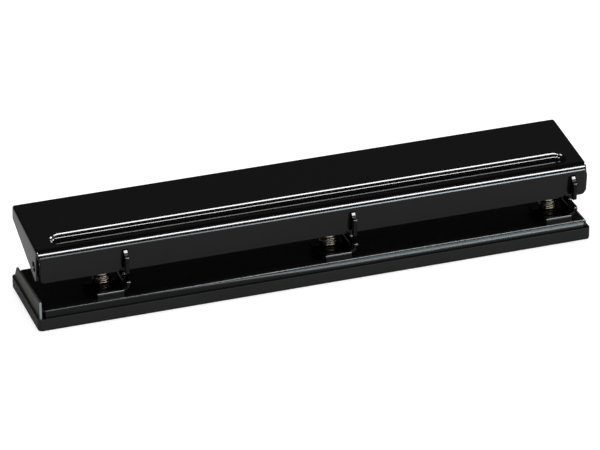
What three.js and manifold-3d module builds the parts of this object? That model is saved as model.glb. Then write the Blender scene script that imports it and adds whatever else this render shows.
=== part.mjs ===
// Three-hole punch for letter paper: a long hinged handle over three sprung punch heads.
// Millimetres, +Z up, +X along the length, +Y to the side where the paper goes in.
// The origin is the middle of the chip tray's underside.
import * as THREE from 'three';
import { mergeVertices } from 'three/addons/utils/BufferGeometryUtils.js';
import Module from 'manifold-3d';

const wasm = await Module();
wasm.setup();

// Clearances and cutting allowances
const gap = 0.3; // between pieces that touch on the real object
const overrun = 2; // how far a cutter runs past the face it opens
const arcSteps = 6; // straight steps in a fillet
const roundSteps = 32; // straight steps round a full circle

// Paper and hole pattern
const holePitch = 107.95;
const holeDiameter = 6.35;
const paperMargin = 31.75; // sheet's edge to the first hole
const paperThroat = 1.5; // height of the slot that takes the sheets

// Chip tray
const trayPastLastPin = 15.75; // tray's right end beyond the last pin's axis
const trayDepth = 45.9;
const trayHeight = 5.8;
const trayWall = 0.8;
const trayFloor = 1.5;
const trayCorner = 2;
const trayFootRound = 0.8; // bottom edges

// Base plate
const baseSheet = 1.2;
const baseTop = 9.9;
const baseBend = 2.5; // outer radius of the bend to the lips
const baseCorner = 2.6;
const baseBackGap = 1.8; // between the back lip and the tray's wall
const lipRelief = 1.4; // the front and back lips start this far from the plate's left edge

// Edge guide
const guideSheet = 1;
const guideTop = 14.2; // at the front
const guideTopBack = 12.8; // where the lead-in starts
const guideFoot = 8;
const guideFrontRound = 0.8;
const guideRamp = 4.2; // length of the sloping lead-in at the back
const guideRampDrop = 7;
const guideFrontSetback = 0.2;
const guideBackGap = 1.5; // between the guide's back end and the tray's wall

// Handle, in its own frame: front face at 0, top at 0
const handleSheet = 1.2;
const handleDepth = 42.6;
const handleTilt = 6.2; // degrees, back edge up at rest
const handleSetback = 6.75; // handle's front behind the tray's
const handleTop = 35.1;
const handleOverhang = 0.85; // right end past the tray
const foldRadius = 2.2;
const backRadius = 1.5;
const endRadius = 2.4;
const planCorner = 2;
const skirtHeight = 15.8;
const skirtInsets = { left: 1.4, right: 0.2 }; // front skirt's ends inside the handle's ends
const skirtCorner = 1.8;
const backLipHeight = 6.6;
const endSkirtGap = 0.8; // open corner between front skirt and end skirt
const endSkirtExtra = 0.4; // an end skirt's slanting lower edge starts this far below the front skirt's
const endSkirtCorner = 1.5;
const reliefTop = 2.8; // the open corners stop this far below the top
const stripHeight = 2.4; // bar of the front skirt under each window
const windowTop = 4.4;
const windowSide = 0.4; // clearance on each side of a hook

// Pressed groove along the handle's top
const grooveMargin = 9;
const grooveWidth = 10.4;
const grooveCentre = 9.2; // behind the front face
const grooveDepth = 1.2;
const grooveSlope = 1.1; // run of the sloping walls

// Press rod carried by the handle
const rodDiameter = 4.4;
const rodBehindFront = 5.8;
const rodBelowTop = 9.8;
const rodRecess = 0.5; // rod's ends inside the handle's end faces
const retainerDiameter = 9;
const retainerThickness = 0.8;

// Saddles that back the rod over each pin
const saddleWidth = 8;
const saddleSheet = 1.2;
const saddleFoot = 5.5;

// Punch heads, places in X from the pin's axis
const headSheet = 1.6;
const headLeft = 8.3;
const headWebLeft = 5.5;
const headWebSetback = 2.2; // web's outer face behind the tray's front
const headChamfer = 6.5; // run of the slanting left corner
const headBehindPin = 5.1; // plate's back edge behind the pin's axis
const headBendInner = 1.6;
const headNoseBend = 1.9; // outer radius of the plate's front bend
const tabWidth = 3;
const tabCentre = 3.6;
const tabSetback = 0.6; // tabs behind the web's outer face
const tabReach = 0.6; // staked end below the base plate
const backCorner = 2;

// Hook ear of a head, in Y and Z from the handle's hinge line
const earFace = 8.4; // left face from the pin's axis
const noseReach = 5.2;
const noseTop = 7.3;
const noseTopRound = 1.6;
const noseShoulderDrop = 2;
const noseShoulderRun = 2.6;
const noseTip = 2.8; // below the hinge line
const noseTipRound = 1.1;
const hookCeiling = 0.65;
const hookFront = 2.1;
const jawTop = 5.5;
const jawReach = 6.5;
const jawRound = 0.9;
const jawUndercut = 1.7;
const notchRound = 1.3;
const neckBack = 1.9;
const neckLow = 3.2;
const elbowBack = 3.3;
const elbowUp = 0.9;
const heelBack = 4.6;
const heelDrop = 1.3;
const tailDrop = 5.4;

// Punch pins, springs and clips
const pinBehindHeadWeb = 12.3; // pin's axis behind the web's outer face
const pinClearance = 0.2; // radial, in the head's plate
const dieClearance = 0.15; // radial, in the base plate
const tipRecess = 0.2; // cutting end above the throat's roof
const pinTopChamfer = 0.5;
const pinHollow = 0.7; // depth of the cutting end's hollow
const pinHollowRadius = 2;
const clipGrooveRadius = 2.4;
const clipThickness = 0.8;
const clipDiameter = 8.4;
const clipBelowTop = 1.5;
const clipMouth = 3.4;
const springWire = 0.8;
const springRadius = 3.95; // to the wire's middle
const springCurls = 4;
const springStart = -135; // degrees about the pin, where the wire's ends stand
const coilSteps = 8;
const wireSides = 5;

// Places worked out from the sizes above
const trayLength = trayWall + gap + guideSheet + paperMargin + 2 * holePitch + trayPastLastPin;
const trayLeft = -trayLength / 2;
const trayRight = trayLength / 2;
const trayFront = -trayDepth / 2;
const trayBack = trayDepth / 2;
const guideOuter = trayLeft + trayWall + gap;
const guideInner = guideOuter + guideSheet;
const baseLeft = guideInner + gap;
const baseRight = trayRight - trayWall - gap;
const baseFront = trayFront + trayWall + gap;
const baseBack = trayBack - trayWall - baseBackGap;
const baseUnder = baseTop - baseSheet;
const lipBottom = trayFloor + gap;
const handleFront = trayFront + handleSetback;
const headWebFront = trayFront + headWebSetback;
const handleLeft = baseLeft;
const handleRight = trayRight + handleOverhang;
const plateUnder = baseTop + paperThroat;
const plateTop = plateUnder + headSheet;
const pinY = headWebFront + pinBehindHeadWeb;
const headBack = pinY + headBehindPin;
const firstPin = guideInner + paperMargin;
const heads = [
  { side: 'left', x: firstPin },
  { side: 'middle', x: firstPin + holePitch },
  { side: 'right', x: firstPin + 2 * holePitch },
];
const tilt = THREE.MathUtils.degToRad(handleTilt);

// A point of the handle's own frame, back from its front face and up from its top
function onHandle(back, up) {
  const y = handleFront + back * Math.cos(tilt) - up * Math.sin(tilt);
  const z = handleTop + back * Math.sin(tilt) + up * Math.cos(tilt);
  return { y, z };
}

const hinge = onHandle(handleSheet / 2, stripHeight - skirtHeight);
const rod = onHandle(rodBehindFront, -rodBelowTop);
const pinTop = rod.z - rodDiameter / 2 - gap;
const pinTip = plateUnder + tipRecess;
const clipTop = pinTop - clipBelowTop;
const clipBottom = clipTop - clipThickness;

const blackEnamel = new THREE.MeshStandardMaterial({ color: 0x0d0d10, metalness: 0.1, roughness: 0.25 });
const blackPlastic = new THREE.MeshStandardMaterial({ color: 0x1d1d1e, metalness: 0, roughness: 0.6 });
const brightSteel = new THREE.MeshStandardMaterial({ color: 0xb8b8b4, metalness: 1, roughness: 0.3 });
const springSteel = new THREE.MeshStandardMaterial({ color: 0x9a8866, metalness: 1, roughness: 0.35 });

// Solids and meshes
function solidOf(geometry) {
  const bare = geometry.clone();
  bare.deleteAttribute('normal');
  bare.deleteAttribute('uv');
  const merged = mergeVertices(bare);
  return new wasm.Manifold(new wasm.Mesh({
    numProp: 3,
    vertProperties: new Float32Array(merged.attributes.position.array),
    triVerts: new Uint32Array(merged.index.array),
  }));
}

function geometryOf(solid) {
  const mesh = solid.getMesh();
  const geometry = new THREE.BufferGeometry();
  geometry.setAttribute('position', new THREE.BufferAttribute(new Float32Array(mesh.vertProperties), 3));
  geometry.setIndex(new THREE.BufferAttribute(new Uint32Array(mesh.triVerts), 1));
  geometry.computeVertexNormals();
  return geometry;
}

function addPiece(group, name, solid, material) {
  const geometry = solid instanceof THREE.BufferGeometry ? solid : geometryOf(solid);
  const mesh = new THREE.Mesh(geometry, material);
  mesh.name = name;
  group.add(mesh);
  return mesh;
}

// Corner points [u, v, radius], with each radius turned into an arc
function filleted(corners) {
  const points = [];
  corners.forEach(([u, v, radius = 0], i) => {
    const here = new THREE.Vector2(u, v);
    if (radius === 0) {
      points.push(here);
      return;
    }
    const before = corners[(i + corners.length - 1) % corners.length];
    const after = corners[(i + 1) % corners.length];
    const toBefore = new THREE.Vector2(before[0], before[1]).sub(here).normalize();
    const toAfter = new THREE.Vector2(after[0], after[1]).sub(here).normalize();
    const half = Math.acos(toBefore.dot(toAfter)) / 2;
    const middle = toBefore.clone().add(toAfter).setLength(radius / Math.sin(half)).add(here);
    const start = toBefore.clone().multiplyScalar(radius / Math.tan(half)).add(here).sub(middle);
    const end = toAfter.clone().multiplyScalar(radius / Math.tan(half)).add(here).sub(middle);
    const sweep = Math.atan2(start.cross(end), start.dot(end));
    for (let k = 0; k <= arcSteps; k += 1) {
      points.push(start.clone().rotateAround(new THREE.Vector2(), (sweep * k) / arcSteps).add(middle));
    }
  });
  return points;
}

function prism(points, length) {
  const depth = { depth: length, bevelEnabled: false, steps: 1 };
  return new THREE.ExtrudeGeometry(new THREE.Shape(points), depth);
}

// An outline in Y and Z, run along X
function alongX(points, from, to) {
  const axes = new THREE.Matrix4().makeBasis(
    new THREE.Vector3(0, 1, 0), new THREE.Vector3(0, 0, 1), new THREE.Vector3(1, 0, 0));
  return solidOf(prism(points, to - from).applyMatrix4(axes).translate(from, 0, 0));
}

// An outline in X and Z, run along Y
function alongY(points, from, to) {
  const axes = new THREE.Matrix4().makeBasis(
    new THREE.Vector3(1, 0, 0), new THREE.Vector3(0, 0, 1), new THREE.Vector3(0, -1, 0));
  return solidOf(prism(points, to - from).applyMatrix4(axes).translate(0, to, 0));
}

// An outline in X and Y, run along Z
function alongZ(points, from, to) {
  return solidOf(prism(points, to - from).translate(0, 0, from));
}

function box(x0, x1, y0, y1, z0, z1) {
  return solidOf(new THREE.BoxGeometry(x1 - x0, y1 - y0, z1 - z0)
    .translate((x0 + x1) / 2, (y0 + y1) / 2, (z0 + z1) / 2));
}

function rectangle(u0, u1, v0, v1, radii = [0, 0, 0, 0]) {
  return filleted([[u0, v0, radii[0]], [u1, v0, radii[1]], [u1, v1, radii[2]], [u0, v1, radii[3]]]);
}

function cylinderX(radius, x0, x1, y, z) {
  return solidOf(new THREE.CylinderGeometry(radius, radius, x1 - x0, roundSteps)
    .rotateZ(Math.PI / 2).translate((x0 + x1) / 2, y, z));
}

function cylinderZ(radius, z0, z1, x, y) {
  return solidOf(new THREE.CylinderGeometry(radius, radius, z1 - z0, roundSteps)
    .rotateX(Math.PI / 2).translate(x, y, (z0 + z1) / 2));
}

// A turned piece about Z from a closed profile of [radius, height] points
function turned(profile, x, y) {
  const points = profile.map(([r, z]) => new THREE.Vector2(r, z));
  points.push(points[0].clone());
  return solidOf(new THREE.LatheGeometry(points, roundSteps).rotateX(Math.PI / 2).translate(x, y, 0));
}

// A solid between two outlines of the same count of points, the first one lower
function loft(lower, lowerZ, upper, upperZ) {
  const count = lower.length;
  const positions = [
    ...lower.flatMap((p) => [p.x, p.y, lowerZ]),
    ...upper.flatMap((p) => [p.x, p.y, upperZ]),
  ];
  const faces = [];
  for (let i = 0; i < count; i += 1) {
    const next = (i + 1) % count;
    faces.push(i, next, count + next, i, count + next, count + i);
  }
  for (const [a, b, c] of THREE.ShapeUtils.triangulateShape(lower, [])) {
    faces.push(a, c, b, count + a, count + b, count + c);
  }
  const geometry = new THREE.BufferGeometry();
  geometry.setAttribute('position', new THREE.Float32BufferAttribute(positions, 3));
  geometry.setIndex(faces);
  return solidOf(geometry);
}

function stadium(x0, x1, middleY, radius) {
  const points = [];
  const steps = 2 * arcSteps;
  [[x1 - radius, -Math.PI / 2], [x0 + radius, Math.PI / 2]].forEach(([x, start]) => {
    for (let k = 0; k <= steps; k += 1) {
      const angle = start + (Math.PI * k) / steps;
      points.push(new THREE.Vector2(x + radius * Math.cos(angle), middleY + radius * Math.sin(angle)));
    }
  });
  return points;
}

// Chip tray: a shallow moulded pan that holds the frame in its rim
function chipTray() {
  const corners = Array(4).fill(trayCorner);
  const insideCorners = Array(4).fill(trayCorner - trayWall);
  const feet = [trayFootRound, trayFootRound, 0, 0];
  const outside = alongZ(rectangle(trayLeft, trayRight, trayFront, trayBack, corners), 0, trayHeight)
    .intersect(alongX(rectangle(trayFront, trayBack, 0, trayHeight, feet), trayLeft, trayRight))
    .intersect(alongY(rectangle(trayLeft, trayRight, 0, trayHeight, feet), trayFront, trayBack));
  const inside = alongZ(rectangle(
    trayLeft + trayWall, trayRight - trayWall, trayFront + trayWall, trayBack - trayWall, insideCorners,
  ), trayFloor, trayHeight + overrun);
  return outside.subtract(inside);
}

// Block with rounded top edges, which a drawn sheet shell is made from
function drawnBlock(inset, bottom) {
  const bend = baseBend - inset;
  const corner = baseCorner - inset;
  const top = baseTop - inset;
  const left = baseLeft - (inset ? overrun : 0);
  const side = alongX(
    rectangle(baseFront + inset, baseBack - inset, bottom, top, [0, 0, bend, bend]), left, baseRight - inset);
  const end = alongY(
    rectangle(left, baseRight - inset, bottom, top, [0, 0, bend, 0]), baseFront + inset, baseBack - inset);
  const plan = alongZ(
    rectangle(left, baseRight - inset, baseFront + inset, baseBack - inset, [0, corner, corner, 0]), bottom, top);
  return side.intersect(end).intersect(plan);
}

// Base plate: drawn sheet with lips on three sides, die holes and slots for the heads' tabs
function basePlate() {
  let plate = drawnBlock(0, lipBottom).subtract(drawnBlock(baseSheet, lipBottom - overrun));
  const relief = [baseLeft - overrun, baseLeft + lipRelief];
  const bendDepth = baseBend + overrun;
  plate = plate.subtract(box(...relief, baseFront - overrun, baseFront - overrun + bendDepth,
    lipBottom - overrun, baseTop + overrun));
  plate = plate.subtract(box(...relief, baseBack + overrun - bendDepth, baseBack + overrun,
    lipBottom - overrun, baseTop + overrun));
  for (const { x } of heads) {
    const dieRadius = holeDiameter / 2 + dieClearance;
    plate = plate.subtract(cylinderZ(dieRadius, baseUnder - overrun, baseTop + overrun, x, pinY));
    for (const side of [-1, 1]) {
      const middle = x + side * tabCentre;
      plate = plate.subtract(box(
        middle - tabWidth / 2 - gap, middle + tabWidth / 2 + gap,
        headWebFront + tabSetback - gap, headWebFront + headSheet + gap,
        baseUnder - tabReach - gap, baseTop + overrun,
      ));
    }
  }
  return plate;
}

// Edge guide: an upright strip at the left with a sloping lead-in, and a foot under the base plate
function edgeGuide() {
  const front = baseFront + guideFrontSetback;
  const back = trayBack - trayWall - guideBackGap;
  const strip = alongX(filleted([
    [front, lipBottom],
    [back, lipBottom],
    [back, guideTopBack - guideRampDrop],
    [back - guideRamp, guideTopBack, guideFrontRound],
    [front, guideTop, guideFrontRound],
  ]), guideOuter, guideInner);
  const footTop = baseUnder - gap;
  const foot = box(guideInner - guideSheet / 2, guideInner + guideFoot,
    baseFront + baseBend + gap, baseBack - baseBend - gap, footTop - guideSheet, footTop);
  return strip.add(foot);
}

// Side outline of the hook ear: nose over the handle's strip, notch, lower jaw and tail
function earOutline(y0) {
  const z0 = hinge.z;
  const at = (y, z, radius) => [hinge.y + y, z0 + z, radius];
  const stripBack = handleSheet / 2 * Math.cos(tilt) + stripHeight * Math.sin(tilt) + gap;
  return filleted([
    [y0, plateUnder],
    [y0, plateTop],
    at(-jawReach, -jawTop, jawRound),
    at(stripBack, -jawTop, notchRound),
    at(stripBack, hookCeiling, gap),
    at(-hookFront, hookCeiling, gap),
    at(-hookFront, -noseTip, gap),
    at(-noseReach, -noseTip, noseTipRound),
    at(-noseReach, noseTop - noseShoulderDrop, noseTipRound),
    at(-noseReach + noseShoulderRun, noseTop, noseTopRound),
    at(neckBack, noseTop, noseTipRound),
    at(neckBack, neckLow),
    at(elbowBack, elbowUp),
    at(heelBack, -heelDrop),
    [headBack, z0 - tailDrop, backCorner],
    [headBack, plateUnder],
  ]);
}

// Punch head: one folded sheet with a guide plate, a front web that stops the paper and a hook ear
function headBracket() {
  const webBack = headWebFront + headSheet;
  const bendStart = earFace - headBendInner;
  const plate = alongZ(filleted([
    [-headWebLeft, headWebFront + headNoseBend],
    [bendStart, headWebFront + headNoseBend],
    [bendStart, headBack],
    [-headLeft, headBack, backCorner],
    [-headLeft, headWebFront + headChamfer],
  ]), plateUnder, plateTop);
  const web = alongX(filleted([
    [headWebFront, baseTop + gap],
    [webBack, baseTop + gap],
    [webBack, plateUnder, headNoseBend - headSheet],
    [webBack + headNoseBend, plateUnder],
    [webBack + headNoseBend, plateTop],
    [headWebFront, plateTop, headNoseBend],
  ]), -headWebLeft, bendStart);
  const section = filleted([
    [bendStart, plateUnder],
    [earFace + headSheet, plateUnder, headBendInner + headSheet],
    [earFace + headSheet, hinge.z + noseTop + overrun],
    [earFace, hinge.z + noseTop + overrun],
    [earFace, plateTop, headBendInner],
    [bendStart, plateTop],
  ]);
  const earFront = headWebFront + jawUndercut;
  const ear = alongY(section, headWebFront - overrun, headBack)
    .intersect(alongX(earOutline(earFront), bendStart - overrun, earFace + headSheet + overrun));
  let head = plate.add(web).add(ear);
  for (const side of [-1, 1]) {
    const middle = side * tabCentre;
    head = head.add(box(middle - tabWidth / 2, middle + tabWidth / 2, headWebFront + tabSetback, webBack,
      baseUnder - tabReach, plateUnder));
  }
  const bore = holeDiameter / 2 + pinClearance;
  return head.subtract(cylinderZ(bore, plateUnder - overrun, plateTop + overrun, 0, pinY));
}

// Punch pin: hollow-ground cutting end, clip groove and flat top
function punchPin() {
  const radius = holeDiameter / 2;
  return turned([
    [0, pinTip + pinHollow],
    [pinHollowRadius, pinTip + pinHollow],
    [radius, pinTip],
    [radius, clipBottom - gap],
    [clipGrooveRadius, clipBottom - gap],
    [clipGrooveRadius, clipTop + gap],
    [radius, clipTop + gap],
    [radius, pinTop - pinTopChamfer],
    [radius - pinTopChamfer, pinTop],
    [0, pinTop],
  ], 0, pinY);
}

// Open spring clip in the pin's groove, which the spring pushes up against
function springClip() {
  const inner = clipGrooveRadius + gap;
  const outer = clipDiameter / 2;
  const ring = cylinderZ(outer, clipBottom, clipTop, 0, pinY)
    .subtract(cylinderZ(inner, clipBottom - overrun, clipTop + overrun, 0, pinY));
  return ring.subtract(box(-clipMouth / 2, clipMouth / 2, pinY, pinY + outer + overrun,
    clipBottom - overrun, clipTop + overrun));
}

// Middle line of a spring: a straight end, the curls and a straight end
function springPath() {
  const low = plateTop + gap;
  const high = clipBottom - gap;
  const rise = high - low - 2 * springWire;
  const start = THREE.MathUtils.degToRad(springStart);
  const at = (angle, z) => new THREE.Vector3(
    springRadius * Math.cos(angle), pinY + springRadius * Math.sin(angle), z);
  const points = [at(start, low)];
  const steps = springCurls * coilSteps;
  for (let k = 0; k <= steps; k += 1) {
    points.push(at(start + (2 * Math.PI * k) / coilSteps, low + springWire + (rise * k) / steps));
  }
  points.push(at(start, high));
  return points;
}

// One unbroken tube round a path: a ring of points at each place, set across the path's direction
function tube(path, radius) {
  const positions = [];
  const faces = [];
  const last = path.length - 1;
  const axis = new THREE.Vector3(0, pinY, 0);
  path.forEach((point, i) => {
    const ahead = path[Math.min(i + 1, last)].clone().sub(path[Math.max(i - 1, 0)]).normalize();
    const isEnd = i === 0 || i === last;
    const direction = isEnd ? new THREE.Vector3(0, 0, 1) : ahead;
    const outward = point.clone().sub(axis).setZ(0).normalize();
    outward.sub(direction.clone().multiplyScalar(outward.dot(direction))).normalize();
    const across = direction.clone().cross(outward);
    for (let k = 0; k < wireSides; k += 1) {
      const angle = (2 * Math.PI * k) / wireSides;
      positions.push(...point.clone()
        .addScaledVector(outward, radius * Math.cos(angle))
        .addScaledVector(across, radius * Math.sin(angle)).toArray());
    }
    if (i < last) {
      for (let k = 0; k < wireSides; k += 1) {
        const a = i * wireSides + k;
        const b = i * wireSides + ((k + 1) % wireSides);
        faces.push(a, b, b + wireSides, a, b + wireSides, a + wireSides);
      }
    }
  });
  for (let k = 1; k < wireSides - 1; k += 1) {
    faces.push(0, k + 1, k);
    const top = last * wireSides;
    faces.push(top, top + k, top + k + 1);
  }
  const geometry = new THREE.BufferGeometry();
  geometry.setAttribute('position', new THREE.Float32BufferAttribute(positions, 3));
  geometry.setIndex(faces);
  geometry.computeVertexNormals();
  return geometry;
}

// Least gap between stretches of a spring that lie more than half a curl apart, on points
function leastGap(path, wire) {
  const fine = [];
  const share = 4;
  for (let i = 0; i < path.length - 1; i += 1) {
    for (let k = 0; k < share; k += 1) {
      fine.push(path[i].clone().lerp(path[i + 1], k / share));
    }
  }
  const apart = (share * coilSteps) / 2;
  let least = Infinity;
  for (let i = 0; i < fine.length; i += 1) {
    for (let j = i + apart; j < fine.length; j += 1) {
      least = Math.min(least, fine[i].distanceTo(fine[j]) - wire);
    }
  }
  return least;
}

// Handle, in its own frame: folded sheet with skirts, windows for the hooks and a pressed groove
function handleBlock(inset, bottom) {
  const front = foldRadius - inset;
  const back = backRadius - inset;
  const ends = Math.max(endRadius - inset, gap);
  const corner = planCorner - inset;
  const [x0, x1] = [handleLeft + inset, handleRight - inset];
  const [y0, y1] = [inset, handleDepth - inset];
  const side = alongX(rectangle(y0, y1, bottom, -inset, [0, 0, Math.max(back, gap), front]), x0, x1);
  const end = alongY(rectangle(x0, x1, bottom, -inset, [0, 0, ends, ends]), y0, y1);
  const plan = alongZ(rectangle(x0, x1, y0, y1, Array(4).fill(corner)), bottom, -inset);
  return side.intersect(end).intersect(plan);
}

function handleShell() {
  const endSkirtFront = skirtHeight + endSkirtExtra;
  const low = -endSkirtFront - overrun;
  let shell = handleBlock(0, -skirtHeight).subtract(handleBlock(handleSheet, low));
  // Pressed groove: the sheet is set down inside an outline with round ends and sloping walls
  const [g0, g1] = [handleLeft + grooveMargin, handleRight - grooveMargin];
  const half = grooveWidth / 2;
  const wide = stadium(g0, g1, grooveCentre, half);
  const narrow = stadium(g0 + grooveSlope, g1 - grooveSlope, grooveCentre, half - grooveSlope);
  const bead = loft(narrow, -handleSheet - grooveDepth, wide, -handleSheet);
  const dish = loft(narrow, -grooveDepth, wide, 0).add(alongZ(wide, 0, overrun));
  shell = shell.add(bead).subtract(dish);
  // Lower edge behind the front skirt: end skirts that taper to the back lip
  const endStart = handleSheet + endSkirtGap;
  const lower = alongX([
    new THREE.Vector2(endStart, low),
    new THREE.Vector2(handleDepth + overrun, low),
    new THREE.Vector2(handleDepth + overrun, -backLipHeight),
    new THREE.Vector2(handleDepth, -backLipHeight),
    new THREE.Vector2(endStart + endSkirtCorner, -endSkirtFront),
    new THREE.Vector2(endStart, endSkirtCorner - endSkirtFront),
  ], handleLeft - overrun, handleRight + overrun);
  shell = shell.subtract(lower);
  // Open corners between the front skirt and the end skirts, and the front skirt's own ends
  for (const [x, inward, skirtInset] of [
    [handleLeft, 1, skirtInsets.left],
    [handleRight, -1, skirtInsets.right],
  ]) {
    const inner = x + inward * (planCorner + handleSheet);
    shell = shell.subtract(box(Math.min(x - inward * overrun, inner), Math.max(x - inward * overrun, inner),
      handleSheet, endStart, low, -reliefTop));
    const edge = x + inward * skirtInset;
    shell = shell.subtract(box(Math.min(x - inward * overrun, edge), Math.max(x - inward * overrun, edge),
      -overrun, endStart, low, -reliefTop));
    const corner = [[edge - inward * overrun, low], [edge + inward * skirtCorner, low],
      [edge + inward * skirtCorner, -skirtHeight], [edge, skirtCorner - skirtHeight],
      [edge - inward * overrun, skirtCorner - skirtHeight]];
    const outline = (inward > 0 ? corner : corner.reverse()).map(([u, v]) => new THREE.Vector2(u, v));
    shell = shell.subtract(alongY(outline, -overrun, endStart));
  }
  // Windows for the hooks, each with the strip that hangs in its hook left below it
  for (const { x } of heads) {
    shell = shell.subtract(box(x + earFace - windowSide, x + earFace + headSheet + windowSide,
      -overrun, handleSheet + overrun, stripHeight - skirtHeight, -windowTop));
  }
  const hole = rodDiameter / 2 + gap;
  return shell.subtract(cylinderX(hole, handleLeft - overrun, handleRight + overrun, rodBehindFront, -rodBelowTop));
}

function pressRod() {
  return cylinderX(rodDiameter / 2, handleLeft + rodRecess, handleRight - rodRecess, rodBehindFront, -rodBelowTop);
}

function rodRetainer(x0) {
  const x1 = x0 + retainerThickness;
  return cylinderX(retainerDiameter / 2, x0, x1, rodBehindFront, -rodBelowTop)
    .subtract(cylinderX(rodDiameter / 2 + gap, x0 - overrun, x1 + overrun, rodBehindFront, -rodBelowTop));
}

// Saddle: a foot under the groove, a leg and a half round over the rod
function rodSaddle(x) {
  const inner = rodDiameter / 2 + gap;
  const outer = inner + saddleSheet;
  const footTop = -handleSheet - grooveDepth - gap;
  const [x0, x1] = [x - saddleWidth / 2, x + saddleWidth / 2];
  const legFront = rodBehindFront;
  const leg = box(x0, x1, legFront, legFront + saddleSheet, -rodBelowTop + inner, footTop);
  const foot = box(x0, x1, legFront, legFront + saddleFoot, footTop - saddleSheet, footTop);
  const over = cylinderX(outer, x0, x1, rodBehindFront, -rodBelowTop)
    .subtract(cylinderX(inner, x0 - overrun, x1 + overrun, rodBehindFront, -rodBelowTop))
    .subtract(box(x0 - overrun, x1 + overrun, rodBehindFront - outer - overrun, rodBehindFront + outer + overrun,
      -rodBelowTop - outer - overrun, -rodBelowTop));
  return over.add(leg).add(foot);
}

const punch = new THREE.Group();
addPiece(punch, 'chip_tray', chipTray(), blackPlastic);
addPiece(punch, 'base_plate', basePlate(), blackEnamel);
addPiece(punch, 'edge_guide', edgeGuide(), blackEnamel);

const path = springPath();
console.log(`least gap of a spring to itself ${leastGap(path, springWire).toFixed(2)} mm`);
console.log(`hinge line y ${hinge.y.toFixed(3)} z ${hinge.z.toFixed(3)}, rod y ${rod.y.toFixed(3)} z ${rod.z.toFixed(3)}`);

const handle = new THREE.Group();
handle.position.set(0, handleFront, handleTop);
handle.rotation.x = tilt;
punch.add(handle);
addPiece(handle, 'handle', handleShell(), blackEnamel);
addPiece(handle, 'press_rod', pressRod(), brightSteel);
addPiece(handle, 'rod_retainer_left', rodRetainer(handleLeft + handleSheet + gap), brightSteel);
addPiece(handle, 'rod_retainer_right',
  rodRetainer(handleRight - handleSheet - gap - retainerThickness), brightSteel);

for (const { side, x } of heads) {
  const head = new THREE.Group();
  head.position.x = x;
  punch.add(head);
  addPiece(head, `head_bracket_${side}`, headBracket(), blackEnamel);
  addPiece(head, `punch_pin_${side}`, punchPin(), brightSteel);
  addPiece(head, `pin_spring_${side}`, tube(path, springWire / 2), springSteel);
  addPiece(head, `spring_clip_${side}`, springClip(), brightSteel);
  addPiece(handle, `rod_saddle_${side}`, rodSaddle(x), blackEnamel);
}

export default punch;
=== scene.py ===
"""Three-hole punch for letter paper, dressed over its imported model.

Lengths are in millimetres until a mesh is made. Lamps and the studio's sheets are in metres."""

import math

import bmesh
import bpy
import numpy as np
from mathutils import Matrix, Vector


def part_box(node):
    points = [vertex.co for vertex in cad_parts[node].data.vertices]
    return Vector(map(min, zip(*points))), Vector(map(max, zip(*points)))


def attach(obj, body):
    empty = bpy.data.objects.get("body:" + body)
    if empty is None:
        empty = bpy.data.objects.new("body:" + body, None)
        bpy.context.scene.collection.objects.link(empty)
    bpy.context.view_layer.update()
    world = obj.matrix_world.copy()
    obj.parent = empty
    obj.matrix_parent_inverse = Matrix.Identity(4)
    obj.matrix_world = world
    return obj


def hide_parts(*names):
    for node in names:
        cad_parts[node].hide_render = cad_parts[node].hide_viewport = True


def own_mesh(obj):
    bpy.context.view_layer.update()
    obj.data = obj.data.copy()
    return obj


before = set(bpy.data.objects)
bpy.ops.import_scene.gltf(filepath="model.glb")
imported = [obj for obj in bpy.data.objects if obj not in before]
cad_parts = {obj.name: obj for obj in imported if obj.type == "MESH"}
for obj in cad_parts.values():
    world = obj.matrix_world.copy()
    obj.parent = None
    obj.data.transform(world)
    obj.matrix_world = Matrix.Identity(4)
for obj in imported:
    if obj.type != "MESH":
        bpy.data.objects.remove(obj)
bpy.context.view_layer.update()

MM = 0.001
SIDES = ("left", "middle", "right")

# Between pieces that touch on the real object
GAP = 0.3
# Points of one mesh that lie closer than this are merged
MERGE = 0.004


def corners(node):
    """Lowest and highest corner of a node of the model, in millimetres."""
    low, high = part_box(node)
    return np.array(low) / MM, np.array(high) / MM


TRAY_LOW, TRAY_HIGH = corners("chip_tray")
BASE_LOW, BASE_HIGH = corners("base_plate")
GUIDE_LOW, GUIDE_HIGH = corners("edge_guide")
HANDLE_LOW, HANDLE_HIGH = corners("handle")
PINS = {side: sum(corners(f"punch_pin_{side}")) / 2 for side in SIDES}
PIN_Y = PINS["left"][1]
PIN_TIP, PIN_TOP = (c[2] for c in corners("punch_pin_left"))
PIN_RADIUS = 6.35 / 2
CLIP_LOW, CLIP_HIGH = (c[2] for c in corners("spring_clip_left"))

# The handle's own frame: Y back from its front face and Z up from its top, tilted about X
HANDLE_FRONT, HANDLE_TOP, TILT = TRAY_LOW[1] + 6.75, 35.1, math.radians(6.2)
# Thickness of the handle's sheet and of the base plate's
SHEET = 1.2
# Outer radius of each bend of the handle
FOLD, BACK_FOLD, LEFT_FOLD, RIGHT_FOLD = 4.0, 1.5, 1.2, 1.6
# Depth of the top from front to back, and height of the front skirt, back lip and end skirts
HANDLE_DEPTH, SKIRT, BACK_LIP, END_SKIRT = 42.6, 15.8, 6.6, 16.2
# Rounded lower corners of the front skirt, and how far its ends lie inside the handle's
SKIRT_CORNER, SKIRT_LEFT, SKIRT_RIGHT = 1.8, LEFT_FOLD + 0.3, 0.8
# Strip below each window, the window's top edge and its clearance beside the ear
STRIP, WINDOW_TOP, WINDOW_SIDE = 2.4, 4.4, 0.4
# Place of the rod's axis behind the front face and below the top, and its radius
ROD_BACK, ROD_DOWN, ROD_RADIUS = 5.8, 9.8, 2.2
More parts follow.
